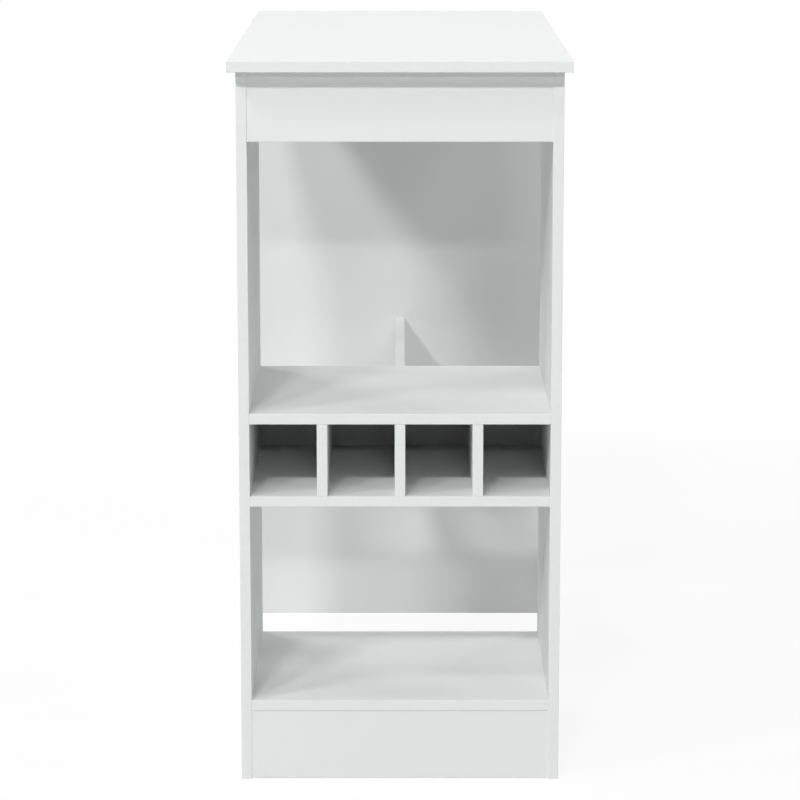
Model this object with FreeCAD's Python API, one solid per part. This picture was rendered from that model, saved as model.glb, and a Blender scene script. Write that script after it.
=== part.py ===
"""Flat-pack bar table with a shelf unit under one end.

White faced chipboard, joined with cam bolts, cam discs and beech dowels. X runs across the table, Y along it
away from the open front of the shelf unit, and Z up. The origin is on the floor under the middle of the top.
"""

import FreeCAD, Part
import os

# Whole table, in millimetres
TABLE_LENGTH = 1020.0
TABLE_WIDTH = 478.0
TABLE_HEIGHT = 1035.0
BOARD = 15.0
END_OVERHANG = 30.0
SIDE_OVERHANG = 11.0

# Shelf unit: four bottle cells between two open bays
UNIT_DEPTH = 385.0
APRON_HEIGHT = 99.0
PLINTH_HEIGHT = 101.0
PLINTH_FLOOR_GAP = 1.0
RAIL_SETBACK = 1.3
LOWER_BAY_HEIGHT = 285.0
CELL_HEIGHT = 104.0
CELL_COUNT = 4
RACK_BACK_INSET = 10.0

# Board that ties the shelf unit to the far leg
STRETCHER_HEIGHT = 100.0

# Glued strip on every edge that shows
EDGE_BAND = 1.0
ARRIS_RADIUS = 0.8

# Where the fittings sit
JOINT_INSET = 60.0
HOLE_STEP = 32.0
RAIL_DOWEL_INSET = 110.0
RACK_DOWEL_INSET = 26.0
FACE_SKIN = 4.5
BLIND_GAP = 0.5

# Beech dowel
DOWEL_DIAMETER = 8.0
DOWEL_LENGTH = 30.0
DOWEL_CHAMFER = 1.0

# Cam disc, turned by a cross-head screwdriver
CAM_DIAMETER = 15.0
CAM_CLEARANCE = 0.1
CAM_SKIN = 2.5
CAM_BACKSET = 24.0
RECESS_LENGTH = 8.0
RECESS_WIDTH = 1.8
RECESS_DEPTH = 2.0

# Cam bolt, screwed into a board's face
THREAD_DIAMETER = 5.0
TIP_DIAMETER = 3.2
TIP_LENGTH = 1.5
BOLT_BORE = 8.0
COLLAR_DIAMETER = 7.4
COLLAR_LENGTH = 1.5
SHANK_DIAMETER = 5.8
NECK_DIAMETER = 3.8
NECK_LENGTH = 4.0
HEAD_DIAMETER = 6.6
HEAD_LENGTH = 3.6
CAM_WALL = 3.0
HEAD_CLEARANCE = 0.3

# Push-in cover over a cam disc
CAP_DIAMETER = 17.5
CAP_THICKNESS = 1.2
CAP_RIM_RADIUS = 0.7
CAP_CLEARANCE = 0.2

# Heights of the boards, from the floor up
BOTTOM_SHELF_Z = PLINTH_FLOOR_GAP + PLINTH_HEIGHT
RACK_BOTTOM_Z = BOTTOM_SHELF_Z + BOARD + LOWER_BAY_HEIGHT
CELL_Z = RACK_BOTTOM_Z + BOARD
MIDDLE_SHELF_Z = CELL_Z + CELL_HEIGHT
TOP_Z = TABLE_HEIGHT - BOARD

# Places along and across the table
FRONT = -TABLE_LENGTH / 2 + END_OVERHANG
UNIT_BACK = FRONT + UNIT_DEPTH
RACK_BACK = UNIT_BACK - RACK_BACK_INSET - BOARD
RAIL_FRONT = FRONT + RAIL_SETBACK
LEG_FRONT = TABLE_LENGTH / 2 - END_OVERHANG - BOARD
TOP_HALF = TABLE_WIDTH / 2
UNIT_HALF = TOP_HALF - SIDE_OVERHANG
INNER_HALF = UNIT_HALF - BOARD
CELL_WIDTH = (2 * INNER_HALF - (CELL_COUNT - 1) * BOARD) / CELL_COUNT
CELL_PITCH = CELL_WIDTH + BOARD

# How deep a fitting goes into a board's face, and where its parts lie from the joint
FACE_DEPTH = BOARD - FACE_SKIN
CAM_BORE_DEPTH = BOARD - CAM_SKIN
CAM_FACE = -BOARD / 2
HEAD_START = CAM_BACKSET - CAM_DIAMETER / 2 + CAM_WALL

VECTOR = FreeCAD.Vector
AXIS_X = VECTOR(1, 0, 0)
AXIS_Y = VECTOR(0, 1, 0)
AXIS_Z = VECTOR(0, 0, 1)
X, Y, Z = range(3)

boards = {}
groups = {}
cuts = {}


def block(low, high):
    """A rectangular solid between two corners."""
    size = high - low
    return Part.makeBox(size.x, size.y, size.z, low)


def band_strip(low, high, axis, outside):
    """A strip of edge band, with its two long outer arrises rounded."""
    strip = block(low, high)
    span = high - low
    along = max((X, Y, Z), key=lambda direction: span[direction])
    outer = []
    for edge in strip.Edges:
        start, end = [vertex.Point for vertex in edge.Vertexes]
        runs_along = abs(end[along] - start[along]) > span[along] / 2
        if runs_along and abs(start[axis] - outside) < ARRIS_RADIUS / 2:
            outer.append(edge)
    return strip.makeFillet(min(ARRIS_RADIUS, 0.9 * EDGE_BAND), outer)


def add_board(name, x, y, z, banded=()):
    """A board between pairs of coordinates, with bands on the edges given as (axis, side)."""
    low = VECTOR(x[0], y[0], z[0])
    high = VECTOR(x[1], y[1], z[1])
    strips = []
    for axis, side in banded:
        strip_low = VECTOR(low)
        strip_high = VECTOR(high)
        if side > 0:
            high[axis] -= EDGE_BAND
            strip_low[axis] = high[axis]
            outside = strip_high[axis]
        else:
            low[axis] += EDGE_BAND
            strip_high[axis] = low[axis]
            outside = strip_low[axis]
        strips.append(band_strip(strip_low, strip_high, axis, outside))
    boards[name] = block(low, high)
    cuts[name] = []
    if strips:
        groups[name + "_edge_band"] = strips


def turned(profile):
    """A solid turned about X from (place along X, diameter) pairs."""
    ends = VECTOR(profile[0][0], 0, 0), VECTOR(profile[-1][0], 0, 0)
    outline = [VECTOR(place, diameter / 2, 0) for place, diameter in profile]
    wire = Part.makePolygon([ends[0], *outline, ends[1], ends[0]])
    return Part.Face(wire).revolve(VECTOR(), AXIS_X, 360)


def rod(diameter, start, end):
    """A plain round bar along X."""
    return Part.makeCylinder(diameter / 2, end - start, VECTOR(start, 0, 0), AXIS_X)


def cross(clearance):
    """The cross of the screwdriver recess, sunk from the disc's face and smaller by the clearance."""
    long = RECESS_LENGTH / 2 - clearance
    wide = RECESS_WIDTH / 2 - clearance
    deep = CAM_FACE + RECESS_DEPTH - clearance
    first = block(VECTOR(CAM_BACKSET - long, -wide, CAM_FACE), VECTOR(CAM_BACKSET + long, wide, deep))
    second = block(VECTOR(CAM_BACKSET - wide, -long, CAM_FACE), VECTOR(CAM_BACKSET + wide, long, deep))
    return first.fuse(second)


def make_dowel():
    """A plain dowel, with X = 0 at the joint and both ends chamfered."""
    in_face = FACE_DEPTH - BLIND_GAP
    dowel = rod(DOWEL_DIAMETER, -in_face, DOWEL_LENGTH - in_face)
    rims = [edge for edge in dowel.Edges if edge.Closed]
    return dowel.makeChamfer(DOWEL_CHAMFER, rims)


def make_cam_bolt():
    """A bolt with a thread, a collar on the board's face, a slim neck and a head for the cam to pull on."""
    tip = BLIND_GAP - FACE_DEPTH
    neck = HEAD_START - NECK_LENGTH
    return turned([
        (tip, TIP_DIAMETER),
        (tip + TIP_LENGTH, THREAD_DIAMETER),
        (0, THREAD_DIAMETER),
        (0, COLLAR_DIAMETER),
        (COLLAR_LENGTH, COLLAR_DIAMETER),
        (COLLAR_LENGTH, SHANK_DIAMETER),
        (neck, SHANK_DIAMETER),
        (neck, NECK_DIAMETER),
        (HEAD_START, NECK_DIAMETER),
        (HEAD_START, HEAD_DIAMETER),
        (HEAD_START + HEAD_LENGTH, HEAD_DIAMETER),
    ])


def make_cam_disc():
    """A disc with a pocket for the bolt's head, a slit for its neck and a cross recess in its face."""
    centre = VECTOR(CAM_BACKSET, 0, CAM_FACE)
    disc = Part.makeCylinder(CAM_DIAMETER / 2 - CAM_CLEARANCE, CAM_BORE_DEPTH, centre, AXIS_Z)
    head = HEAD_DIAMETER / 2 + HEAD_CLEARANCE
    neck = NECK_DIAMETER / 2 + HEAD_CLEARANCE
    open_end = CAM_FACE + BOARD
    pocket_end = HEAD_START + HEAD_LENGTH + HEAD_CLEARANCE
    pocket = block(VECTOR(HEAD_START, -head, -head), VECTOR(pocket_end, head, open_end))
    slit = block(VECTOR(CAM_BACKSET - CAM_DIAMETER, -neck, -neck), VECTOR(HEAD_START, neck, open_end))
    return disc.cut([pocket, slit, cross(0)]).Solids[0]


def make_cam_cap():
    """A thin cover with a soft rim and a cross underneath that grips the disc's recess."""
    base = VECTOR(CAM_BACKSET, 0, CAM_FACE - CAP_THICKNESS)
    cover = Part.makeCylinder(CAP_DIAMETER / 2, CAP_THICKNESS, base, AXIS_Z)
    rim = [edge for edge in cover.Edges if edge.Closed and edge.CenterOfMass.z < CAM_FACE - CAP_THICKNESS / 2]
    return cover.makeFillet(CAP_RIM_RADIUS, rim).fuse(cross(CAP_CLEARANCE)).Solids[0]


def make_cam_bores():
    """The bore for the disc, opened from the board's face, and the bore for the bolt from its end."""
    disc_bore = Part.makeCylinder(CAM_DIAMETER / 2, CAM_BORE_DEPTH, VECTOR(CAM_BACKSET, 0, CAM_FACE), AXIS_Z)
    return disc_bore.fuse(rod(BOLT_BORE, 0, CAM_BACKSET))


DOWEL = make_dowel()
CAM_BOLT = make_cam_bolt()
CAM_DISC = make_cam_disc()
CAM_CAP = make_cam_cap()
CAM_BORES = make_cam_bores()
BOLT_HOLE = rod(THREAD_DIAMETER, -FACE_DEPTH, 0)
DOWEL_HOLE_FACE = rod(DOWEL_DIAMETER, -FACE_DEPTH, 0)
DOWEL_HOLE_END = rod(DOWEL_DIAMETER, 0, DOWEL_LENGTH - FACE_DEPTH + 2 * BLIND_GAP)


def placed(shape, point, into, through):
    """A fitting put at a joint: its X runs into the end board, its Z through that board's thickness."""
    turn = FreeCAD.Rotation(into, through.cross(into), through, "XYZ")
    moved = shape.copy()
    moved.Placement = FreeCAD.Placement(point, turn)
    return moved


def add_cam(group, end_board, face_board, point, into, through, capped=True):
    """A cam joint that pulls the end board against the face board."""
    cuts[end_board].append(placed(CAM_BORES, point, into, through))
    cuts[face_board].append(placed(BOLT_HOLE, point, into, through))
    fittings = {"_cam_bolts": CAM_BOLT, "_cam_discs": CAM_DISC}
    if capped:
        fittings["_cam_caps"] = CAM_CAP
    for kind, shape in fittings.items():
        groups.setdefault(group + kind, []).append(placed(shape, point, into, through))


def add_dowel(group, end_board, face_board, point, into):
    """A dowel across a joint, in a blind hole in each board."""
    through = AXIS_Y if abs(into.z) > 0.5 else AXIS_Z
    cuts[end_board].append(placed(DOWEL_HOLE_END, point, into, through))
    cuts[face_board].append(placed(DOWEL_HOLE_FACE, point, into, through))
    groups.setdefault(group + "_dowels", []).append(placed(DOWEL, point, into, through))


def joint_rows(low, high):
    """Pairs of cam place and dowel place, one pair near each end of a joint."""
    first = low + JOINT_INSET
    last = high - JOINT_INSET
    return [(first, first + HOLE_STEP), (last, last - HOLE_STEP)]


def add_boards():
    """Every board of the table, with bands on the edges that show."""
    inside = (-INNER_HALF, INNER_HALF)
    unit = (FRONT, UNIT_BACK)
    rail = (RAIL_FRONT, RAIL_FRONT + BOARD)
    upright = (0, TOP_Z)
    front_and_back = ((Y, -1), (Y, 1))

    add_board(
        "table_top",
        (-TOP_HALF, TOP_HALF),
        (-TABLE_LENGTH / 2, TABLE_LENGTH / 2),
        (TOP_Z, TABLE_HEIGHT),
        ((Y, -1), (Y, 1), (X, -1), (X, 1)),
    )
    add_board("left_side_panel", (-UNIT_HALF, -INNER_HALF), unit, upright, front_and_back)
    add_board("right_side_panel", (INNER_HALF, UNIT_HALF), unit, upright, front_and_back)
    add_board("front_apron", inside, rail, (TOP_Z - APRON_HEIGHT, TOP_Z), ((Z, -1),))
    for name, bottom in (
        ("middle_shelf", MIDDLE_SHELF_Z),
        ("rack_bottom", RACK_BOTTOM_Z),
        ("bottom_shelf", BOTTOM_SHELF_Z),
    ):
        add_board(name, inside, unit, (bottom, bottom + BOARD), front_and_back)
    for index in range(1, CELL_COUNT):
        start = -INNER_HALF + index * CELL_PITCH - BOARD
        cell = (CELL_Z, MIDDLE_SHELF_Z)
        add_board(f"rack_divider_{index}", (start, start + BOARD), (FRONT, RACK_BACK), cell, ((Y, -1),))
    add_board("rack_back_panel", inside, (RACK_BACK, RACK_BACK + BOARD), (CELL_Z, MIDDLE_SHELF_Z))
    add_board("plinth", inside, rail, (PLINTH_FLOOR_GAP, BOTTOM_SHELF_Z), ((Z, -1),))
    add_board(
        "end_panel",
        (-TOP_HALF, TOP_HALF),
        (LEG_FRONT, LEG_FRONT + BOARD),
        upright,
        ((X, -1), (X, 1)),
    )
    middle = CELL_Z + CELL_HEIGHT / 2
    add_board(
        "stretcher",
        (-BOARD / 2, BOARD / 2),
        (RACK_BACK + BOARD, LEG_FRONT),
        (middle - STRETCHER_HEIGHT / 2, middle + STRETCHER_HEIGHT / 2),
        ((Z, -1), (Z, 1)),
    )


def join_top():
    """The top, drawn down on the side panels and the end panel, and pegged to the apron."""
    for side, panel in ((-1, "left_side_panel"), (1, "right_side_panel")):
        x = side * (INNER_HALF + BOARD / 2)
        for cam, dowel in joint_rows(FRONT, UNIT_BACK):
            add_cam("top", panel, "table_top", VECTOR(x, cam, TOP_Z), -AXIS_Z, side * AXIS_X)
            add_dowel("top", panel, "table_top", VECTOR(x, dowel, TOP_Z), -AXIS_Z)
    for cam, dowel in joint_rows(-TOP_HALF, TOP_HALF):
        y = LEG_FRONT + BOARD / 2
        add_cam("top", "end_panel", "table_top", VECTOR(cam, y, TOP_Z), -AXIS_Z, AXIS_Y)
        add_dowel("top", "end_panel", "table_top", VECTOR(dowel, y, TOP_Z), -AXIS_Z)


def join_shelves():
    """The three shelves, held between the side panels by fittings sunk in their undersides."""
    for name, bottom, capped in (
        ("middle_shelf", MIDDLE_SHELF_Z, True),
        ("rack_bottom", RACK_BOTTOM_Z, True),
        ("bottom_shelf", BOTTOM_SHELF_Z, False),
    ):
        z = bottom + BOARD / 2
        for side, panel in ((-1, "left_side_panel"), (1, "right_side_panel")):
            x = side * INNER_HALF
            into = -side * AXIS_X
            for cam, dowel in joint_rows(FRONT, UNIT_BACK):
                add_cam(name, name, panel, VECTOR(x, cam, z), into, AXIS_Z, capped)
                add_dowel(name, name, panel, VECTOR(x, dowel, z), into)


def join_rails():
    """The apron and the plinth, with their cams on the hidden rear face and dowels into the board above."""
    y = RAIL_FRONT + BOARD / 2
    for name, bottom, height, above in (
        ("front_apron", TOP_Z - APRON_HEIGHT, APRON_HEIGHT, "table_top"),
        ("plinth", PLINTH_FLOOR_GAP, PLINTH_HEIGHT, "bottom_shelf"),
    ):
        middle = bottom + height / 2
        for side, panel in ((-1, "left_side_panel"), (1, "right_side_panel")):
            x = side * INNER_HALF
            into = -side * AXIS_X
            add_cam(name, name, panel, VECTOR(x, y, middle), into, -AXIS_Y, capped=False)
            for z in (middle - HOLE_STEP, middle + HOLE_STEP):
                add_dowel(name, name, panel, VECTOR(x, y, z), into)
            peg = VECTOR(side * (INNER_HALF - RAIL_DOWEL_INSET), y, bottom + height)
            add_dowel(name, name, above, peg, -AXIS_Z)


def join_rack():
    """The dividers and the back of the bottle rack, pegged between the boards around them."""
    floor_and_roof = (("rack_bottom", CELL_Z, AXIS_Z), ("middle_shelf", MIDDLE_SHELF_Z, -AXIS_Z))
    for index in range(1, CELL_COUNT):
        x = -INNER_HALF + index * CELL_PITCH - BOARD / 2
        for y in (FRONT + JOINT_INSET, RACK_BACK - JOINT_INSET):
            for board, z, into in floor_and_roof:
                add_dowel("rack_divider", f"rack_divider_{index}", board, VECTOR(x, y, z), into)
    y = RACK_BACK + BOARD / 2
    for side, panel in ((-1, "left_side_panel"), (1, "right_side_panel")):
        for z in (CELL_Z + RACK_DOWEL_INSET, MIDDLE_SHELF_Z - RACK_DOWEL_INSET):
            point = VECTOR(side * INNER_HALF, y, z)
            add_dowel("rack_back", "rack_back_panel", panel, point, -side * AXIS_X)
        for board, z, into in floor_and_roof:
            point = VECTOR(side * (INNER_HALF - CELL_WIDTH / 2), y, z)
            add_dowel("rack_back", "rack_back_panel", board, point, into)


def join_stretcher():
    """The stretcher, with two cams and a dowel at each end and its cams on the right-hand face."""
    middle = CELL_Z + CELL_HEIGHT / 2
    for board, y, into in (
        ("rack_back_panel", RACK_BACK + BOARD, AXIS_Y),
        ("end_panel", LEG_FRONT, -AXIS_Y),
    ):
        add_dowel("stretcher", "stretcher", board, VECTOR(0, y, middle), into)
        for z in (middle - HOLE_STEP, middle + HOLE_STEP):
            add_cam("stretcher", "stretcher", board, VECTOR(0, y, z), into, -AXIS_X)


def export_parts():
    """Writes one file for each board, set of bands and group of like fittings."""
    os.makedirs("parts", exist_ok=True)
    for name, solid in boards.items():
        drilled = solid.cut(cuts[name]).Solids[0]
        drilled.exportStep(os.path.join("parts", name + ".step"))
    for name, solids in groups.items():
        Part.makeCompound(solids).exportStep(os.path.join("parts", name + ".step"))


add_boards()
join_top()
join_shelves()
join_rails()
join_rack()
join_stretcher()
export_parts()
print(len(boards), "boards and", len(groups), "groups of bands and fittings")
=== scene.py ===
# %% [markdown]
# # A white bar table with shelves
#
# This lesson dresses a flat-pack bar table: fourteen white boards, the plastic strips glued on their
# edges, and the small fittings that pull the boards together. The boards come from a solid model at their
# real size, so the work here is the finish of each surface, the finer shape of the fittings, and a studio
# like the one in the photograph. Lengths in Blender are metres. The x axis runs to the right, y away from
# the viewer and z up.

# %% Load the solid model as a fixed frame
import math

import bmesh
import bpy
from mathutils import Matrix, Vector


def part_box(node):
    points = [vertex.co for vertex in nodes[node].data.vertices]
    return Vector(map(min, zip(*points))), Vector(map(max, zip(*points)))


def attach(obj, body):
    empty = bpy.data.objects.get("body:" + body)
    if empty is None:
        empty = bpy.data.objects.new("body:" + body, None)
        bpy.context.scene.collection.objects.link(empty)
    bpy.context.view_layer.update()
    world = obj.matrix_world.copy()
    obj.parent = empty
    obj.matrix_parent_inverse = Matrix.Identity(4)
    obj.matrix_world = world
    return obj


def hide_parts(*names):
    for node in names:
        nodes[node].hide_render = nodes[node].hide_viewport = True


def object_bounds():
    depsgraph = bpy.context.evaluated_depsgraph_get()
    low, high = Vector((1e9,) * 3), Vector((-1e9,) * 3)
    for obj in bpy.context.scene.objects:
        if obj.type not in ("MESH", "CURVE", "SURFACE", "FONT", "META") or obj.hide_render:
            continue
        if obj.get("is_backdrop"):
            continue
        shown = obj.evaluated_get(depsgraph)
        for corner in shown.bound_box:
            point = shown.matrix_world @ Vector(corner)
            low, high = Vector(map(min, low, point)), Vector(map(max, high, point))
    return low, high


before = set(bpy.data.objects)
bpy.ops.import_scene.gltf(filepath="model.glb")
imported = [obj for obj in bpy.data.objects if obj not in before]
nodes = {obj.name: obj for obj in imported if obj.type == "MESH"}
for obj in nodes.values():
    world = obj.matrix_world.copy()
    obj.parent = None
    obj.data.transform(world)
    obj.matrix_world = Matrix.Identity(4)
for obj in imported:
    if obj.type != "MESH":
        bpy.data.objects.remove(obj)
cad_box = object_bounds()
MM = 0.001
print(len(nodes), "nodes in a box of", [round((high - low) / MM) for low, high in zip(*cad_box)], "mm")

# %% [markdown]
# ## Three small helpers
#
# A colour is easiest to pick as the hex value that a paint program shows, but a shader adds up light, so
# it needs linear values, and one function turns the first into the second. Materials and geometry trees
# are both graphs of nodes, and every node takes the same few lines, so a second function adds a node,
# sets its values and links it. A third starts a material with an empty graph, and every finish below then
# builds its own graph in it.


# %% Colour, node and material helpers
def linear(hex_colour):
    """The linear red, green, blue and alpha of an sRGB hex colour."""
    channels = [int(hex_colour[i : i + 2], 16) / 255 for i in (1, 3, 5)]
    bent = [c / 12.92 if c <= 0.04045 else ((c + 0.055) / 1.055) ** 2.4 for c in channels]
    return (*bent, 1.0)


def add_node(tree, kind, inputs=None, **settings):
    """Adds a node. Inputs go by identifier, name or number, and a value can be another node's output."""
    node = tree.nodes.new(kind)
    for name, value in settings.items():
        setattr(node, name, value)
    by_identifier = {socket.identifier: socket for socket in node.inputs}
    for key, value in (inputs or {}).items():
        socket = by_identifier.get(key) or node.inputs[key]
        if isinstance(value, bpy.types.NodeSocket):
            tree.links.new(value, socket)
        else:
            socket.default_value = value
    return node


def empty_material(name):
    """A material with nothing in its node tree."""
    material = bpy.data.materials.new(name)
    material.use_nodes = True
    material.node_tree.nodes.clear()
    return material


# A Mix node has one output for each kind of value, and this is the place of the colour among them.
MIXED_COLOUR = 2
print("mid grey #808080 is", round(linear("#808080")[0], 3), "in linear light")

# %% [markdown]
# ## The camera
#
# The photograph looks at the short end of the table from about five metres away, with a long lens, from a
# little above the top. A shifted lens would keep the upright edges parallel, but the shift would stay
# when the camera goes round the table and push it out of the picture. So this camera looks down by about
# eleven degrees instead.

# %% Camera at the photograph's viewing angle
CAMERA_PLACE = (0.0, -4.9075, 1.4032)
CAMERA_PITCH = 10.828
CAMERA_LENS = 143.87
SENSOR_WIDTH = 36.0

camera_data = bpy.data.cameras.new("photo_camera")
camera_data.sensor_width = SENSOR_WIDTH
camera_data.lens = CAMERA_LENS
camera = bpy.data.objects.new("photo_camera", camera_data)
camera.location = CAMERA_PLACE
camera.rotation_euler = (math.radians(90 - CAMERA_PITCH), 0, 0)
bpy.context.scene.collection.objects.link(camera)
bpy.context.scene.camera = camera
bpy.context.scene.view_settings.view_transform = "Standard"
print("the camera looks down", CAMERA_PITCH, "degrees with a lens of", CAMERA_LENS, "mm")

# %% [markdown]
# ## White melamine
#
# Each board is chipboard with a white, resin-soaked paper pressed on both faces. The steel press plate
# leaves a fine pearl texture, which scatters the light and makes the face nearly matt, and the paper's
# white is never perfectly even. Two noises draw that: a wide one clouds the colour, and a narrow one
# raises the pearl and moves the gloss with it.

# %% Melamine facing
FACING_WHITE = "#EAEBEB"
FACING_SHADE = "#E7E9E8"
FACING_ROUGHNESS = (0.62, 0.72)
MELAMINE_IOR = 1.5
CLOUD_SIZE = 240 * MM
CLOUD_DETAIL = 2.0
# The real pearl is about 0.4 mm from bump to bump and 0.02 mm deep. It is drawn six times as large, or no
# render would show it.
PEARL_SIZE = 2.4 * MM
PEARL_DEPTH = 0.12 * MM
PEARL_DETAIL = 1.0


def melamine_facing(tree, place):
    """The colour, roughness and height of pressed melamine paper."""
    cloud_inputs = {"Vector": place, "Scale": 1 / CLOUD_SIZE, "Detail": CLOUD_DETAIL}
    cloud = add_node(tree, "ShaderNodeTexNoise", cloud_inputs).outputs["Fac"]
    whites = {"Factor_Float": cloud, "A_Color": linear(FACING_WHITE), "B_Color": linear(FACING_SHADE)}
    white = add_node(tree, "ShaderNodeMix", whites, data_type="RGBA")
    pearl_inputs = {"Vector": place, "Scale": 1 / PEARL_SIZE, "Detail": PEARL_DETAIL}
    pearl = add_node(tree, "ShaderNodeTexNoise", pearl_inputs).outputs["Fac"]
    gloss_range = {"Value": pearl, "To Min": FACING_ROUGHNESS[0], "To Max": FACING_ROUGHNESS[1]}
    gloss = add_node(tree, "ShaderNodeMapRange", gloss_range)
    height = add_node(tree, "ShaderNodeMath", {0: pearl, 1: PEARL_DEPTH}, operation="MULTIPLY")
    return white.outputs[MIXED_COLOUR], gloss.outputs[0], height.outputs[0]


print("the pearl texture is", PEARL_SIZE / MM, "mm wide and", PEARL_DEPTH / MM, "mm deep")

# %% [markdown]
# ## Raw chipboard
#
# Raw chips show only where no facing or strip covers them: on the feet of the upright boards and inside
# the bores. Chipboard is flakes of wood in glue, each with its own shade of tan, so a Voronoi texture
# suits it: every cell is one flake, and its random number picks the shade and how far the saw tore the
# flake out.

# %% Chipboard core
CHIP_COLOURS = ("#8F6E45", "#B8935F", "#D3B382")
CHIP_SIZE = 3.5 * MM
CHIP_DEPTH = 0.4 * MM
CHIP_ROUGHNESS = 0.9
MIDDLE_SHADE = 0.5


def chipboard_core(tree, place):
    """The colour and height of sawn chipboard."""
    flakes = add_node(tree, "ShaderNodeTexVoronoi", {"Vector": place, "Scale": 1 / CHIP_SIZE})
    draws = add_node(tree, "ShaderNodeSeparateColor", {"Color": flakes.outputs["Color"]})
    tan = add_node(tree, "ShaderNodeValToRGB", {"Fac": draws.outputs["Red"]})
    tan.color_ramp.elements.new(MIDDLE_SHADE)
    for element, colour in zip(tan.color_ramp.elements, CHIP_COLOURS):
        element.color = linear(colour)
    torn = {0: draws.outputs["Green"], 1: CHIP_DEPTH}
    height = add_node(tree, "ShaderNodeMath", torn, operation="MULTIPLY")
    return tan.outputs["Color"], height.outputs[0]


print("a flake is about", CHIP_SIZE / MM, "mm wide")

# %% [markdown]
# ## Boards: facing and core in one material
#
# A board is one solid, so its material has to hold both the facing and the core. A facing lies on the two
# faces that look along the board's thickness, and the surface's own normal tells that: where it points
# along the thickness, the mask is one and the melamine shows. Boards lie in three directions, so there
# are three materials.

# %% Melamine-faced chipboard
FACE_LIMIT = 0.5
# The heights that reach the bump are in metres already, so it takes them whole.
WHOLE_HEIGHT = 1.0


def faced_board(name, thickness_axis):
    """Melamine on the faces square to the thickness axis (0, 1 or 2) and raw chips elsewhere."""
    material = empty_material(name)
    tree = material.node_tree
    place = add_node(tree, "ShaderNodeTexCoord")
    normal = add_node(tree, "ShaderNodeSeparateXYZ", {"Vector": place.outputs["Normal"]})
    along = add_node(tree, "ShaderNodeMath", {0: normal.outputs[thickness_axis]}, operation="ABSOLUTE")
    limit = {0: along.outputs[0], 1: FACE_LIMIT}
    is_face = add_node(tree, "ShaderNodeMath", limit, operation="GREATER_THAN").outputs[0]

    white, gloss, pearl = melamine_facing(tree, place.outputs["Object"])
    tan, chips = chipboard_core(tree, place.outputs["Object"])
    colours = {"Factor_Float": is_face, "A_Color": tan, "B_Color": white}
    colour = add_node(tree, "ShaderNodeMix", colours, data_type="RGBA")
    roughnesses = {"Factor_Float": is_face, "A_Float": CHIP_ROUGHNESS, "B_Float": gloss}
    roughness = add_node(tree, "ShaderNodeMix", roughnesses)
    heights = {"Factor_Float": is_face, "A_Float": chips, "B_Float": pearl}
    height = add_node(tree, "ShaderNodeMix", heights)
    bump = add_node(tree, "ShaderNodeBump", {"Height": height.outputs[0], "Distance": WHOLE_HEIGHT})
    surface = {
        "Base Color": colour.outputs[MIXED_COLOUR],
        "Roughness": roughness.outputs[0],
        "Normal": bump.outputs["Normal"],
        "IOR": MELAMINE_IOR,
    }
    shader = add_node(tree, "ShaderNodeBsdfPrincipled", surface)
    add_node(tree, "ShaderNodeOutputMaterial", {"Surface": shader.outputs["BSDF"]})
    return material


AXIS_WORDS = ("sideways", "frontal", "level")
board_finishes = [faced_board(f"white_melamine_{word}_board", axis) for axis, word in enumerate(AXIS_WORDS)]
print("made", [material.name for material in board_finishes])

# %% [markdown]
# ## Mottled finishes: edge strips, cams, bolts and covers
#
# The strips on the edges are extruded ABS plastic in the board's white. A scraper trims them flush and a
# buffing wheel finishes them, so they are a little glossier than the faces, with faint waves along the
# cut. The cam discs are die-cast zinc: dull, with a skin of fine grains from the mould. The cam bolts are
# steel with a bright zinc plate. The covers pressed over the cams are moulded polyethylene, a touch
# waxier than the boards. All four have a fine mottle that comes from how they were made, so one function
# draws them from a few numbers.

# %% Finishes with a fine mottle
MOTTLE_DETAIL = 3.0


def mottled_finish(name, colours, grain, depth, roughness, metallic, ior):
    """A colour that wavers between two, with a fine raised grain and a gloss that follows it."""
    material = empty_material(name)
    tree = material.node_tree
    place = add_node(tree, "ShaderNodeTexCoord")
    grain_inputs = {"Vector": place.outputs["Object"], "Scale": 1 / grain, "Detail": MOTTLE_DETAIL}
    speck = add_node(tree, "ShaderNodeTexNoise", grain_inputs).outputs["Fac"]
    tints = {"Factor_Float": speck, "A_Color": linear(colours[0]), "B_Color": linear(colours[1])}
    tint = add_node(tree, "ShaderNodeMix", tints, data_type="RGBA")
    gloss_range = {"Value": speck, "To Min": roughness[0], "To Max": roughness[1]}
    gloss = add_node(tree, "ShaderNodeMapRange", gloss_range)
    bump = add_node(tree, "ShaderNodeBump", {"Height": speck, "Distance": depth})
    surface = {
        "Base Color": tint.outputs[MIXED_COLOUR],
        "Roughness": gloss.outputs[0],
        "Normal": bump.outputs["Normal"],
        "Metallic": metallic,
        "IOR": ior,
    }
    shader = add_node(tree, "ShaderNodeBsdfPrincipled", surface)
    add_node(tree, "ShaderNodeOutputMaterial", {"Surface": shader.outputs["BSDF"]})
    return material


DEFAULT_IOR = 1.5
ABS_IOR = 1.53
POLYETHYLENE_IOR = 1.51
PLASTIC = 0.0
METAL = 1.0
# Extruded ABS: the board's white with a smoother, buffed gloss, which tells the strip from the face
band_finish = mottled_finish(
    "extruded_white_abs",
    colours=("#EAEBEB", "#E5E7E6"),
    grain=9 * MM,
    depth=0.01 * MM,
    roughness=(0.50, 0.58),
    metallic=PLASTIC,
    ior=ABS_IOR,
)
# Die-cast zinc: grey, dull, with the mould's grain
cast_zinc = mottled_finish(
    "die_cast_zinc",
    colours=("#A3A6A9", "#8C8F92"),
    grain=0.8 * MM,
    depth=0.03 * MM,
    roughness=(0.42, 0.60),
    metallic=METAL,
    ior=DEFAULT_IOR,
)
print("made", band_finish.name, "and", cast_zinc.name)

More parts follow.
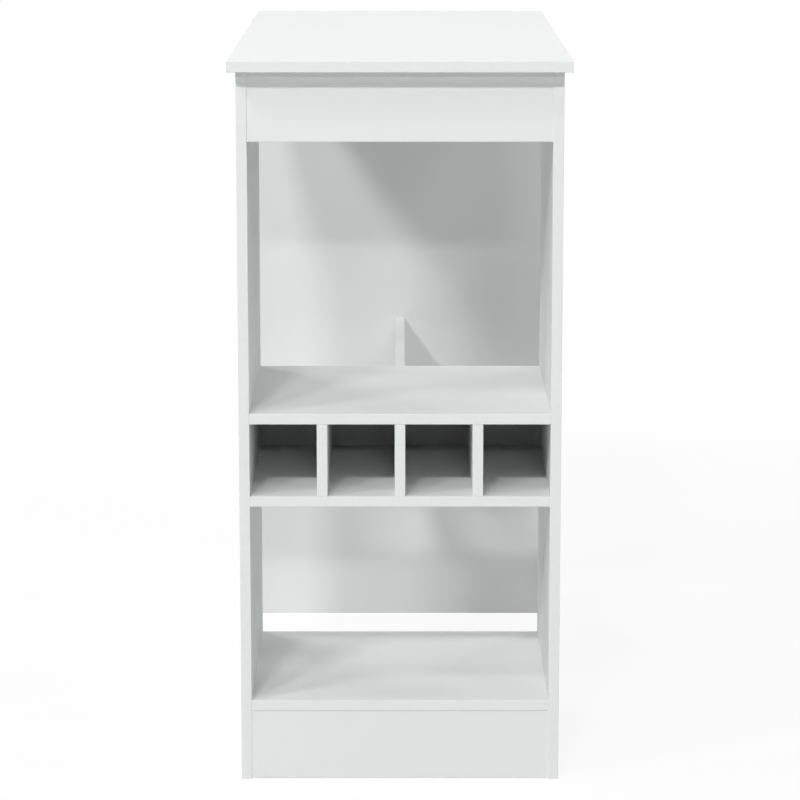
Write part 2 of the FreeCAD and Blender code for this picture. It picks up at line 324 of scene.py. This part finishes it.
# %% Two more mottled finishes
# Zinc plate: bright and slightly blue, smooth enough for soft reflections
plated_steel = mottled_finish(
    "zinc_plated_steel",
    colours=("#C9CED4", "#B7BDC4"),
    grain=1.5 * MM,
    depth=0.005 * MM,
    roughness=(0.18, 0.30),
    metallic=METAL,
    ior=DEFAULT_IOR,
)
# Polyethylene: white and waxy, with the spark-eroded grain of its mould
cap_plastic = mottled_finish(
    "moulded_white_polyethylene",
    colours=("#ECEEEC", "#E6E8E6"),
    grain=0.9 * MM,
    depth=0.015 * MM,
    roughness=(0.40, 0.52),
    metallic=PLASTIC,
    ior=POLYETHYLENE_IOR,
)
print("made", plated_steel.name, "and", cap_plastic.name)

# %% [markdown]
# ## Beech
#
# The dowels are turned from beech: pale pinkish brown, with short dark flecks along the grain. The grain
# of each dowel runs along that dowel, and they lie in three directions. So the dowels carry their own
# coordinates as an attribute, stored before they are placed, and this material reads it instead of the
# object's coordinates.

# %% Raw beech
BEECH_COLOURS = ("#C79C70", "#DDB88E")
FLECK_COLOUR = "#9C6E45"
GRAIN_NAME = "dowel_grain"
GRAIN_WIDTH = 1.2 * MM
GRAIN_DEPTH = 0.05 * MM
GRAIN_DETAIL = 3.0
FLECK_WIDTH = 0.5 * MM
GRAIN_STRETCH = 0.06
FLECK_LIMITS = (0.62, 0.70)
BEECH_ROUGHNESS = 0.75


def raw_beech():
    """Beech with its grain along the third axis of the piece's own coordinates."""
    material = empty_material("raw_beech")
    tree = material.node_tree
    own_place = add_node(tree, "ShaderNodeAttribute", attribute_name=GRAIN_NAME)
    stretch = {"Vector": own_place.outputs["Vector"], "Scale": (1, 1, GRAIN_STRETCH)}
    along = add_node(tree, "ShaderNodeMapping", stretch).outputs["Vector"]
    streak_inputs = {"Vector": along, "Scale": 1 / GRAIN_WIDTH, "Detail": GRAIN_DETAIL}
    streak = add_node(tree, "ShaderNodeTexNoise", streak_inputs).outputs["Fac"]
    dark, pale = (linear(colour) for colour in BEECH_COLOURS)
    browns = {"Factor_Float": streak, "A_Color": dark, "B_Color": pale}
    brown = add_node(tree, "ShaderNodeMix", browns, data_type="RGBA")
    fleck = add_node(tree, "ShaderNodeTexNoise", {"Vector": along, "Scale": 1 / FLECK_WIDTH})
    rare = {"Value": fleck.outputs["Fac"], "From Min": FLECK_LIMITS[0], "From Max": FLECK_LIMITS[1]}
    spot = add_node(tree, "ShaderNodeMapRange", rare).outputs[0]
    plain = brown.outputs[MIXED_COLOUR]
    flecked = {"Factor_Float": spot, "A_Color": plain, "B_Color": linear(FLECK_COLOUR)}
    wood = add_node(tree, "ShaderNodeMix", flecked, data_type="RGBA")
    bump = add_node(tree, "ShaderNodeBump", {"Height": streak, "Distance": GRAIN_DEPTH})
    surface = {
        "Base Color": wood.outputs[MIXED_COLOUR],
        "Roughness": BEECH_ROUGHNESS,
        "Normal": bump.outputs["Normal"],
        "IOR": DEFAULT_IOR,
    }
    shader = add_node(tree, "ShaderNodeBsdfPrincipled", surface)
    add_node(tree, "ShaderNodeOutputMaterial", {"Surface": shader.outputs["BSDF"]})
    return material


beech = raw_beech()
print("made", beech.name)

# %% [markdown]
# ## Dressing the solids
#
# The boards, strips, cams and covers already have their real shape, so they keep it and only get a
# finish. The endings of the names tell the small parts from the boards. A board's thinnest side tells
# which way it faces.

# %% Give each solid its finish
SMALL_PART_FINISH = {
    "_edge_band": band_finish,
    "_cam_discs": cast_zinc,
    "_cam_bolts": plated_steel,
    "_cam_caps": cap_plastic,
    "_dowels": beech,
}


def finish_for(name):
    """The finish of a node, from its name or, for a board, from the way that it faces."""
    for ending, material in SMALL_PART_FINISH.items():
        if name.endswith(ending):
            return material
    low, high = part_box(name)
    sizes = list(high - low)
    return board_finishes[sizes.index(min(sizes))]


for name, node in nodes.items():
    node.data.materials.clear()
    node.data.materials.append(finish_for(name))
boards = [name for name in nodes if finish_for(name) in board_finishes]
print(len(boards), "boards and", len(nodes) - len(boards), "groups of strips and fittings are dressed")

# %% [markdown]
# ## Where the fittings go
#
# The dowels and cam bolts are plain turned shapes in the solid model. Here they get what a hand would
# feel: the glue flutes of a dowel and the thread of a bolt. Each group of fittings is one node with
# several separate solids, so this step finds those solids and takes from each a starting point and an
# axis. The axis points to the wider end, which on a cam bolt is its head.

# %% Find the separate solids of a node
SAME_PLACE = 0.01 * MM


def separate_solids(name):
    """The corner points of each separate solid in a node."""
    merged = bmesh.new()
    merged.from_mesh(nodes[name].data)
    bmesh.ops.remove_doubles(merged, verts=merged.verts, dist=SAME_PLACE)
    unseen = set(merged.verts)
    solids = []
    while unseen:
        solid = [unseen.pop()]
        for corner in solid:
            near = {edge.other_vert(corner) for edge in corner.link_edges} & unseen
            unseen -= near
            solid.extend(near)
        solids.append([corner.co.copy() for corner in solid])
    merged.free()
    return solids


dowel_nodes = sorted(name for name in nodes if name.endswith("_dowels"))
bolt_nodes = sorted(name for name in nodes if name.endswith("_cam_bolts"))
print("the table has", sum(len(separate_solids(name)) for name in dowel_nodes), "dowels")
print("the table has", sum(len(separate_solids(name)) for name in bolt_nodes), "cam bolts")


# %% Find each fitting's end and axis
def end_and_axis(corners):
    """The middle of a slim solid's narrower end, and the unit vector from there along the solid."""
    low = Vector(min(corner[i] for corner in corners) for i in range(3))
    high = Vector(max(corner[i] for corner in corners) for i in range(3))
    sizes = list(high - low)
    longest = sizes.index(max(sizes))
    axis = Vector(float(i == longest) for i in range(3))
    ends = []
    for level, way in ((low[longest], axis), (high[longest], -axis)):
        middle = (low + high) / 2
        middle[longest] = level
        width = max((c - middle).length for c in corners if abs(c[longest] - level) < SAME_PLACE)
        ends.append((round(width / MM, 3), middle, way))
    _, start, direction = min(ends, key=lambda end: end[0])
    return start, direction


def ends_and_axes(name):
    """The end and axis of each fitting of a node, in the order of their places."""
    ends = [end_and_axis(solid) for solid in separate_solids(name)]
    return sorted(ends, key=lambda end: tuple(round(v / MM, 1) for v in end[0]))


def fitting_points(name):
    """A mesh of points, one for each fitting of a node, with its direction as an attribute."""
    ends = ends_and_axes(name)
    mesh = bpy.data.meshes.new(name + "_points")
    mesh.from_pydata([start for start, _ in ends], [], [])
    axis = mesh.attributes.new("axis", "FLOAT_VECTOR", "POINT")
    axis.data.foreach_set("vector", [v for _, direction in ends for v in direction])
    return mesh


first_start, first_axis = ends_and_axes(bolt_nodes[0])[0]
print("one bolt starts at", [round(v / MM, 1) for v in first_start], "mm and points to", list(first_axis))

# %% [markdown]
# ## Geometry Nodes for turned parts
#
# Dowels and bolts are turned: a round section that follows a straight path and changes its width on the
# way. Geometry Nodes can sweep a profile along a path with Curve to Mesh, and its Scale input sets the
# width at each point of the path. The path has one point for each station of the turning: how far it lies
# from the station before, and how wide the part is there. Both are named inputs of the tree, so a size
# can be changed afterwards in the modifier.


# %% Start a tree with named sizes
def new_fitting_tree(name, sizes):
    """A geometry tree with points going in and fittings coming out, and one named input for each size."""
    tree = bpy.data.node_groups.new(name, "GeometryNodeTree")
    tree.interface.new_socket("Points", in_out="INPUT", socket_type="NodeSocketGeometry")
    tree.interface.new_socket("Material", in_out="INPUT", socket_type="NodeSocketMaterial")
    for size, value in sizes.items():
        socket = tree.interface.new_socket(size, in_out="INPUT", socket_type="NodeSocketFloat")
        socket.default_value = value
    tree.interface.new_socket("Fittings", in_out="OUTPUT", socket_type="NodeSocketGeometry")
    return tree, add_node(tree, "NodeGroupInput")


def station_sizes(stations):
    """Named sizes for the stations of a turned part: the way from the last station, and the width."""
    sizes = {}
    for name, way, width in stations:
        sizes[f"{name} way"] = way
        sizes[f"{name} width"] = width
    return sizes


print("a station gives two inputs:", list(station_sizes([("Tip", 0.0, 1.0)])))


# %% Sweep a profile along the stations
def turned_body(tree, group, stations, profile):
    """Sweeps a profile one metre in radius along the stations, scaled to each station's width."""
    index = add_node(tree, "GeometryNodeInputIndex")
    heights = add_node(tree, "GeometryNodeIndexSwitch", {"Index": index.outputs[0]}, data_type="FLOAT")
    radii = add_node(tree, "GeometryNodeIndexSwitch", {"Index": index.outputs[0]}, data_type="FLOAT")
    for switch in (heights, radii):
        while len(switch.index_switch_items) < len(stations):
            switch.index_switch_items.new()
    height = 0.0
    for number, (name, _, _) in enumerate(stations):
        step = {0: height, 1: group.outputs[f"{name} way"]}
        height = add_node(tree, "ShaderNodeMath", step, operation="ADD").outputs[0]
        halved = {0: group.outputs[f"{name} width"], 1: 0.5}
        half = add_node(tree, "ShaderNodeMath", halved, operation="MULTIPLY")
        tree.links.new(height, heights.inputs[1 + number])
        tree.links.new(half.outputs[0], radii.inputs[1 + number])
    line = add_node(tree, "GeometryNodeMeshLine", {"Count": len(stations)})
    spot = add_node(tree, "ShaderNodeCombineXYZ", {"Z": heights.outputs[0]})
    set_path = {"Geometry": line.outputs[0], "Position": spot.outputs[0]}
    path = add_node(tree, "GeometryNodeSetPosition", set_path)
    curve = add_node(tree, "GeometryNodeMeshToCurve", {"Mesh": path.outputs[0]})
    sweep = {"Curve": curve.outputs[0], "Profile Curve": profile, "Fill Caps": True}
    sweep["Scale"] = radii.outputs[0]
    return add_node(tree, "GeometryNodeCurveToMesh", sweep).outputs[0]


def place_on_points(tree, group, fitting):
    """Puts the fitting on every point, turned to the point's axis, as plain mesh with its material."""
    axis = add_node(tree, "GeometryNodeInputNamedAttribute", {"Name": "axis"}, data_type="FLOAT_VECTOR")
    turn = add_node(tree, "FunctionNodeAlignRotationToVector", {"Vector": axis.outputs[0]}, axis="Z")
    on_points = {"Points": group.outputs["Points"], "Instance": fitting, "Rotation": turn.outputs[0]}
    copies = add_node(tree, "GeometryNodeInstanceOnPoints", on_points)
    plain = add_node(tree, "GeometryNodeRealizeInstances", {"Geometry": copies.outputs[0]})
    dressed = {"Geometry": plain.outputs[0], "Material": group.outputs["Material"]}
    finished = add_node(tree, "GeometryNodeSetMaterial", dressed)
    add_node(tree, "NodeGroupOutput", {"Fittings": finished.outputs[0]})


print("helpers ready:", turned_body.__name__, "and", place_on_points.__name__)

# %% [markdown]
# ## From tree to finished piece
#
# A tree runs as a modifier on an object that holds only the points. The result is read back as a plain
# mesh, and the holder goes. The new piece rides on the table's body and stands for the plain solids of
# its node, which are then hidden.


# %% Run a tree on a node's points
def make_fittings(name, ending, tree, material, slot_name, crease):
    """Runs a tree on a node's fitting points and keeps the result as the piece that stands for the node."""
    holder = bpy.data.objects.new(name + "_holder", fitting_points(name))
    bpy.context.scene.collection.objects.link(holder)
    modifier = holder.modifiers.new("fittings", "NODES")
    modifier.node_group = tree
    inputs = [item for item in tree.interface.items_tree if item.in_out == "INPUT"]
    identifiers = {item.name: item.identifier for item in inputs}
    modifier[identifiers["Material"]] = material
    depsgraph = bpy.context.evaluated_depsgraph_get()
    mesh = bpy.data.meshes.new_from_object(holder.evaluated_get(depsgraph))
    holder.modifiers.remove(modifier)
    bpy.data.objects.remove(holder)
    mesh.shade_smooth()
    mesh.set_sharp_from_angle(angle=math.radians(crease))
    piece = bpy.data.objects.new(f"{name}_{ending}", mesh)
    bpy.context.scene.collection.objects.link(piece)
    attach(piece, "root")
    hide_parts(name)
    print(piece.name, "has", len(mesh.polygons), "faces")


print("helper ready:", make_fittings.__name__)

# %% [markdown]
# ## Fluted dowels
#
# A furniture dowel has shallow flutes pressed along it, so that glue and air can get past. A star-shaped
# profile gives them: the circle's radius dips with a cosine of the angle, once for each flute. The
# alternative, cutting grooves one by one with booleans, would be slower and leave a rougher mesh.

# %% Dowel sizes
DOWEL_WIDTH = 8 * MM
DOWEL_LENGTH = 30 * MM
DOWEL_CHAMFER = 1 * MM
FLUTE_COUNT = 20
FLUTE_DEPTH = 0.35 * MM
POINTS_PER_FLUTE = 6
DOWEL_CREASE = 50

tip_width = DOWEL_WIDTH - 2 * DOWEL_CHAMFER
dowel_stations = [
    ("First end", 0.0, tip_width),
    ("First chamfer", DOWEL_CHAMFER, DOWEL_WIDTH),
    ("Body", DOWEL_LENGTH - 2 * DOWEL_CHAMFER, DOWEL_WIDTH),
    ("Last chamfer", DOWEL_CHAMFER, tip_width),
]
dowel_sizes = station_sizes(dowel_stations) | {"Flutes": float(FLUTE_COUNT), "Flute depth": FLUTE_DEPTH}
dowel_tree, dowel_in = new_fitting_tree("fluted_dowels", dowel_sizes)
print("the dowel's tree takes", list(dowel_sizes))


# %% Dowels
def fluted_profile(tree, group):
    """A circle of radius one whose edge dips once for each flute."""
    rim = {"Resolution": FLUTE_COUNT * POINTS_PER_FLUTE}
    circle = add_node(tree, "GeometryNodeCurvePrimitiveCircle", rim)
    round_the_circle = add_node(tree, "GeometryNodeSplineParameter")
    turns = {0: round_the_circle.outputs["Factor"], 1: group.outputs["Flutes"]}
    waves = add_node(tree, "ShaderNodeMath", turns, operation="MULTIPLY")
    angle = add_node(tree, "ShaderNodeMath", {0: waves.outputs[0], 1: 2 * math.pi}, operation="MULTIPLY")
    cosine = add_node(tree, "ShaderNodeMath", {0: angle.outputs[0]}, operation="COSINE")
    share = {0: group.outputs["Flute depth"], 1: group.outputs["Body width"]}
    depth = add_node(tree, "ShaderNodeMath", share, operation="DIVIDE")
    dip = {0: cosine.outputs[0], 1: depth.outputs[0], 2: depth.outputs[0]}
    drop = add_node(tree, "ShaderNodeMath", dip, operation="MULTIPLY_ADD")
    reach = add_node(tree, "ShaderNodeMath", {0: 1.0, 1: drop.outputs[0]}, operation="SUBTRACT")
    spot = add_node(tree, "GeometryNodeInputPosition")
    moved = {0: spot.outputs[0], "Scale": reach.outputs[0]}
    scaled = add_node(tree, "ShaderNodeVectorMath", moved, operation="SCALE")
    edge = {"Geometry": circle.outputs[0], "Position": scaled.outputs[0]}
    return add_node(tree, "GeometryNodeSetPosition", edge).outputs[0]


dowel_body = turned_body(dowel_tree, dowel_in, dowel_stations, fluted_profile(dowel_tree, dowel_in))
body_place = add_node(dowel_tree, "GeometryNodeInputPosition")
grain_inputs = {"Geometry": dowel_body, "Name": GRAIN_NAME, "Value": body_place.outputs[0]}
grained = add_node(dowel_tree, "GeometryNodeStoreNamedAttribute", grain_inputs, data_type="FLOAT_VECTOR")
place_on_points(dowel_tree, dowel_in, grained.outputs[0])
for name in dowel_nodes:
    make_fittings(name, "fluted", dowel_tree, beech, "beech", DOWEL_CREASE)

# %% [markdown]
# ## Threaded cam bolts
#
# A cam bolt screws into a board's face with a coarse thread, and its head is what the cam pulls on. The
# turned body comes from the same sweep. The thread is a ridge that climbs round the core: a diamond-
# shaped profile swept along a spiral, with half of the diamond sunk in the core so that no gap shows.

# %% Bolt sizes
TIP_WIDTH = 3.2 * MM
CORE_WIDTH = 3.8 * MM
THREAD_WIDTH = 5.0 * MM
THREAD_PITCH = 2.0 * MM
COLLAR_WIDTH = 7.4 * MM
SHANK_WIDTH = 5.8 * MM
NECK_WIDTH = 3.8 * MM
HEAD_WIDTH = 6.6 * MM
STEP = 0.05 * MM
BOLT_SEGMENTS = 32
SPIRAL_STEPS = 24
RIDGE_SIDES = 4
BOLT_CREASE = 35

bolt_stations = [
    ("Tip", 0.0, TIP_WIDTH),
    ("Taper", 1.5 * MM, CORE_WIDTH),
    ("Thread", 8.5 * MM - STEP, CORE_WIDTH),
    ("Collar face", STEP, COLLAR_WIDTH),
    ("Collar", 1.5 * MM, COLLAR_WIDTH),
    ("Shank start", STEP, SHANK_WIDTH),
    ("Shank", 14.0 * MM - 2 * STEP, SHANK_WIDTH),
    ("Neck start", STEP, NECK_WIDTH),
    ("Neck", 4.0 * MM - STEP, NECK_WIDTH),
    ("Head start", STEP, HEAD_WIDTH),
    ("Head", 3.6 * MM - STEP, HEAD_WIDTH),
]
thread_sizes = {"Thread pitch": THREAD_PITCH, "Thread depth": (THREAD_WIDTH - CORE_WIDTH) / 2}
bolt_tree, bolt_in = new_fitting_tree("threaded_cam_bolts", station_sizes(bolt_stations) | thread_sizes)
print("a bolt is", round(sum(way for _, way, _ in bolt_stations) / MM, 2), "mm long")


# %% Cam bolts
def thread_ridge(tree, group):
    """A diamond-shaped ridge that climbs round the bolt's core from the taper to the collar."""
    turns = {0: group.outputs["Thread way"], 1: group.outputs["Thread pitch"]}
    rounds = add_node(tree, "ShaderNodeMath", turns, operation="DIVIDE")
    halved = {0: group.outputs["Thread width"], 1: 0.5}
    core = add_node(tree, "ShaderNodeMath", halved, operation="MULTIPLY")
    climb = {"Rotations": rounds.outputs[0], "Height": group.outputs["Thread way"]}
    around = {"Start Radius": core.outputs[0], "End Radius": core.outputs[0]}
    spiral_inputs = {"Resolution": SPIRAL_STEPS} | climb | around
    spiral = add_node(tree, "GeometryNodeCurveSpiral", spiral_inputs)
    level = add_node(tree, "GeometryNodeSetCurveNormal", {"Curve": spiral.outputs[0]}, mode="Z_UP")
    start = add_node(tree, "ShaderNodeCombineXYZ", {"Z": group.outputs["Taper way"]})
    lift = {"Geometry": level.outputs[0], "Offset": start.outputs[0]}
    lifted = add_node(tree, "GeometryNodeSetPosition", lift)
    diamond = {"Resolution": RIDGE_SIDES, "Radius": group.outputs["Thread depth"]}
    profile = add_node(tree, "GeometryNodeCurvePrimitiveCircle", diamond)
    sweep = {"Curve": lifted.outputs[0], "Profile Curve": profile.outputs[0], "Fill Caps": True}
    return add_node(tree, "GeometryNodeCurveToMesh", sweep).outputs[0]


bolt_circle = add_node(bolt_tree, "GeometryNodeCurvePrimitiveCircle", {"Resolution": BOLT_SEGMENTS})
bolt_body = turned_body(bolt_tree, bolt_in, bolt_stations, bolt_circle.outputs[0])
bolt = add_node(bolt_tree, "GeometryNodeJoinGeometry", {"Geometry": bolt_body})
bolt_tree.links.new(thread_ridge(bolt_tree, bolt_in), bolt.inputs["Geometry"])
place_on_points(bolt_tree, bolt_in, bolt.outputs[0])
for name in bolt_nodes:
    make_fittings(name, "threaded", bolt_tree, plated_steel, "zinc_plated_steel", BOLT_CREASE)

# %% [markdown]
# ## The studio floor
#
# The photograph has a pure white floor and background. A floor that is simply white never quite gets
# there, and more light would wash out the table. So rays from the camera see mostly a plain white glow,
# mixed with the lit floor to keep the table's shadow. The light that bounces from the floor to the table
# comes from a duller, pale grey floor, because a white one would fill the shadow under the top.

# %% Floor
FLOOR_HALF = 12.0

floor_mesh = bpy.data.meshes.new("floor")
floor_corners = [(x * FLOOR_HALF, y * FLOOR_HALF, 0) for x, y in ((-1, -1), (1, -1), (1, 1), (-1, 1))]
floor_mesh.from_pydata(floor_corners, [], [(0, 1, 2, 3)])
floor = bpy.data.objects.new("floor", floor_mesh)
bpy.context.scene.collection.objects.link(floor)
floor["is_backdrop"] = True
print("the floor is", 2 * FLOOR_HALF, "m wide")

# %% Floor finish
PLAIN_WHITE = "#FFFFFF"
WHITE_LEVEL = 1.0
FLOOR_SEEN = "#F6F6F6"
FLOOR_BOUNCE = "#CBCBCB"
FLOOR_GLOW = 0.85
GLOW_START = 1.2
GLOW_FULL = 3.5


def seen_directly(tree):
    """One for rays that the camera, a gloss or a glass looks along, and zero for rays that carry light."""
    path = add_node(tree, "ShaderNodeLightPath")
    seen = path.outputs["Is Camera Ray"]
    for word in ("Is Glossy Ray", "Is Transmission Ray"):
        either = {0: seen, 1: path.outputs[word]}
        seen = add_node(tree, "ShaderNodeMath", either, operation="MAXIMUM").outputs[0]
    return seen


floor_material = empty_material("white_studio_floor")
floor_tree = floor_material.node_tree
seen = seen_directly(floor_tree)
floor_tints = {"Factor_Float": seen, "A_Color": linear(FLOOR_BOUNCE), "B_Color": linear(FLOOR_SEEN)}
floor_tint = add_node(floor_tree, "ShaderNodeMix", floor_tints, data_type="RGBA")
lit_floor = add_node(floor_tree, "ShaderNodeBsdfDiffuse", {"Color": floor_tint.outputs[MIXED_COLOUR]})
glow_inputs = {"Color": linear(PLAIN_WHITE), "Strength": WHITE_LEVEL}
white_glow = add_node(floor_tree, "ShaderNodeEmission", glow_inputs)
floor_place = add_node(floor_tree, "ShaderNodeTexCoord")
away = add_node(floor_tree, "ShaderNodeVectorMath", {0: floor_place.outputs["Object"]}, operation="LENGTH")
fade_range = {"From Min": GLOW_START, "From Max": GLOW_FULL, "To Min": FLOOR_GLOW}
fade = {"Value": away.outputs["Value"]} | fade_range
glow = add_node(floor_tree, "ShaderNodeMapRange", fade, interpolation_type="SMOOTHSTEP")
glow_shown = {0: glow.outputs[0], 1: seen}
glow_share = add_node(floor_tree, "ShaderNodeMath", glow_shown, operation="MULTIPLY")
floor_mix = {"Fac": glow_share.outputs[0], 1: lit_floor.outputs[0], 2: white_glow.outputs[0]}
floor_surface = add_node(floor_tree, "ShaderNodeMixShader", floor_mix)
add_node(floor_tree, "ShaderNodeOutputMaterial", {"Surface": floor_surface.outputs[0]})
floor_mesh.materials.append(floor_material)
print("within", GLOW_START, "m the floor shows", round(1 - FLOOR_GLOW, 2), "of the light and shadow on it")

# %% [markdown]
# ## Background
#
# The world does two jobs. Rays that look at it see plain white. Rays that carry light find only a weak,
# even glow, which keeps the deepest shadows open as the walls of a white studio would.

# %% World
WORLD_GLOW = 0.05

world = bpy.data.worlds.new("white_studio")
bpy.context.scene.world = world
world.use_nodes = True
sky_tree = world.node_tree
sky_tree.nodes.clear()
sky_strength = {"Value": seen_directly(sky_tree), "To Min": WORLD_GLOW, "To Max": WHITE_LEVEL}
sky_level = add_node(sky_tree, "ShaderNodeMapRange", sky_strength)
sky = {"Color": linear(PLAIN_WHITE), "Strength": sky_level.outputs[0]}
background = add_node(sky_tree, "ShaderNodeBackground", sky)
add_node(sky_tree, "ShaderNodeOutputWorld", {"Surface": background.outputs[0]})
print("the world lights with", WORLD_GLOW, "and looks white")

# %% [markdown]
# ## Studio lamps
#
# The shadows tell where the photograph's lamps stood. The slanting edges in the bottle cells and the band
# under the top come from one small lamp in front, a little to the left and above: it is the key, and
# being small it draws clear edges. Close under the top the band is darker, because a lower lamp straight
# in front is hidden there too. A second lamp to the left of the key and two high ones soften these
# shadows. Large lamps at both sides and behind light the worktop and the sides that face away. All stand
# far off, so that the upper and lower boards get the same light. The worktop is nearly white already, and
# the glare of the lamps would take it to the edge of pure white, so the lamps don't show in reflections.

# %% Lamps
LAMP_AIM = Vector((0.0, -0.25, 0.6))
LAMP_DISTANCE = 15.0
# Each lamp's direction from the table, its width and height in metres, and its power in watts
STUDIO_LAMPS = {
    "key": ((-0.2, -1.0, 0.78), 1.5, 0.6, 575),
    "key_left": ((-0.55, -1.0, 0.8), 2.0, 0.8, 495),
    "front": ((0.06, -1.0, 0.31), 2.2, 0.4, 275),
    "high_left": ((-1.4, -1.0, 2.0), 2.2, 1.5, 420),
    "high_right": ((0.9, -1.0, 1.2), 3.0, 2.0, 205),
    "left": ((-1.0, 0.0, 0.6), 6.0, 5.0, 430),
    "right": ((1.0, 0.0, 0.6), 6.0, 5.0, 540),
    "back_left": ((-0.7, 0.7, 0.7), 6.0, 5.0, 580),
    "back_right": ((0.7, 0.7, 0.7), 6.0, 5.0, 390),
    "back": ((0.0, 1.0, 0.35), 6.0, 5.0, 150),
}

for name, (direction, width, height, power) in STUDIO_LAMPS.items():
    lamp_data = bpy.data.lights.new(name, "AREA")
    lamp_data.shape = "RECTANGLE"
    lamp_data.size = width
    lamp_data.size_y = height
    lamp_data.energy = power
    lamp = bpy.data.objects.new(name, lamp_data)
    towards_lamp = Vector(direction).normalized()
    lamp.location = LAMP_AIM + LAMP_DISTANCE * towards_lamp
    lamp.rotation_euler = towards_lamp.to_track_quat("Z", "Y").to_euler()
    lamp.visible_glossy = False
    bpy.context.scene.collection.objects.link(lamp)
print(len(STUDIO_LAMPS), "lamps give", sum(watts for *_, watts in STUDIO_LAMPS.values()), "watts")

# %% [markdown]
# ## Sizes
#
# Finishes and finer fittings must not make the table larger than its solid model. Both boxes are measured
# here, and the largest change of a side is printed.

# %% Measure both boxes
size_note = {"cad": [list(corner) for corner in cad_box], "visual": [list(corner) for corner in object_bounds()]}
changes = [abs(a - b) for pair in zip(*size_note.values()) for a, b in zip(*pair)]
print("largest change of a side:", max(changes), "m")
